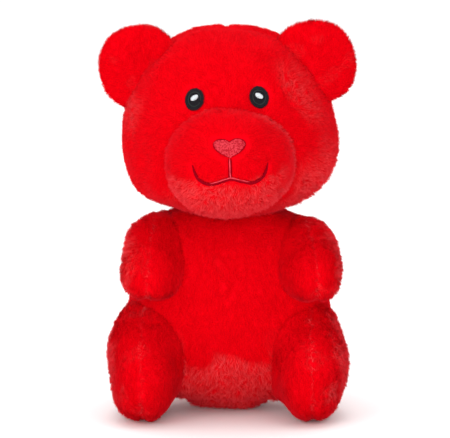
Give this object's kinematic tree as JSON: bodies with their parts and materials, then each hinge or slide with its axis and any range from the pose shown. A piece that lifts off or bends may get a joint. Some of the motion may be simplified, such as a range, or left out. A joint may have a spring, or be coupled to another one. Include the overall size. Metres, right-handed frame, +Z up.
{
  "type": "seated plush teddy bear",
  "caption": "Seated soft toy bear of short-pile plush with embroidered eyes, nose and smile; head, ears, arms and legs flex at their seams.",
  "frame": {"origin": "on the floor under the middle of the seated bear's bounding box", "axes": "+Z up; the bear faces -Y, so its own left side is +X"},
  "size_m": [0.1705, 0.142, 0.2573],
  "materials": {
    "red_plush": "matte",
    "fibre_filling": "matte",
    "pellets": "matte",
    "black_thread": "satin",
    "white_thread": "satin",
    "rose_thread": "satin",
    "dark_red_thread": "satin",
    "label_ribbon": "satin"
  },
  "bodies": {
    "torso": {"belly_panel": "red_plush", "back_panel_left": "red_plush", "back_panel_right": "red_plush", "base_panel": "red_plush", "torso_stuffing": "fibre_filling", "pellet_bag": "pellets", "sewn_in_label": "label_ribbon"},
    "neck": {"neck_stuffing": "fibre_filling"},
    "head": {"face_panel": "red_plush", "muzzle_panel": "red_plush", "head_back_left": "red_plush", "head_back_right": "red_plush", "head_stuffing": "fibre_filling", "eye_left_black": "black_thread", "eye_left_white": "white_thread", "eye_right_black": "black_thread", "eye_right_white": "white_thread", "nose_embroidery": "rose_thread", "mouth_embroidery": "dark_red_thread"},
    "ear_left": {"ear_left_front": "red_plush", "ear_left_back": "red_plush", "ear_left_stuffing": "fibre_filling"},
    "ear_right": {"ear_right_front": "red_plush", "ear_right_back": "red_plush", "ear_right_stuffing": "fibre_filling"},
    "arm_left": {"arm_left_inner": "red_plush", "arm_left_outer": "red_plush", "arm_left_stuffing": "fibre_filling"},
    "arm_right": {"arm_right_inner": "red_plush", "arm_right_outer": "red_plush", "arm_right_stuffing": "fibre_filling"},
    "leg_left": {"leg_left_inner": "red_plush", "leg_left_outer": "red_plush", "leg_left_stuffing": "fibre_filling"},
    "leg_right": {"leg_right_inner": "red_plush", "leg_right_outer": "red_plush", "leg_right_stuffing": "fibre_filling"}
  },
  "joints": [
    {"name": "head_turn", "type": "hinge", "parent": "torso", "child": "neck", "pos_m": [0.00337, 0.01616, 0.1305], "axis": [-0.0349, 0, 0.9994], "range_deg": [-25, 25], "stiffness_Nm_per_rad": 0.25},
    {"name": "head_nod", "type": "hinge", "parent": "neck", "child": "head", "pos_m": [0.00337, 0.01616, 0.1305], "axis": [-0.9994, 0, -0.0349], "range_deg": [-9, 9], "stiffness_Nm_per_rad": 0.6},
    {"name": "ear_left_fold", "type": "hinge", "parent": "head", "child": "ear_left", "pos_m": [0.05024, 0.00616, 0.22119], "axis": [0.6157, 0, -0.788], "range_deg": [-15, 15], "stiffness_Nm_per_rad": 0.02},
    {"name": "ear_right_fold", "type": "hinge", "parent": "head", "child": "ear_right", "pos_m": [-0.0497, 0.00616, 0.2177], "axis": [0.5592, 0, 0.829], "range_deg": [-15, 15], "stiffness_Nm_per_rad": 0.02},
    {"name": "arm_left_swing", "type": "hinge", "parent": "torso", "child": "arm_left", "pos_m": [0.04736, -0.00184, 0.10885], "axis": [-1, 0, 0], "range_deg": [-12, 30], "stiffness_Nm_per_rad": 0.06},
    {"name": "arm_right_swing", "type": "hinge", "parent": "torso", "child": "arm_right", "pos_m": [-0.04061, -0.00184, 0.11115], "axis": [-1, 0, 0], "range_deg": [-12, 30], "stiffness_Nm_per_rad": 0.06},
    {"name": "leg_left_swing", "type": "hinge", "parent": "torso", "child": "leg_left", "pos_m": [0.05087, 0.00416, 0.04], "axis": [-1, 0, 0], "range_deg": [0, 15], "stiffness_Nm_per_rad": 0.3},
    {"name": "leg_right_swing", "type": "hinge", "parent": "torso", "child": "leg_right", "pos_m": [-0.05113, 0.00416, 0.04], "axis": [-1, 0, 0], "range_deg": [0, 15], "stiffness_Nm_per_rad": 0.3}
  ]
}
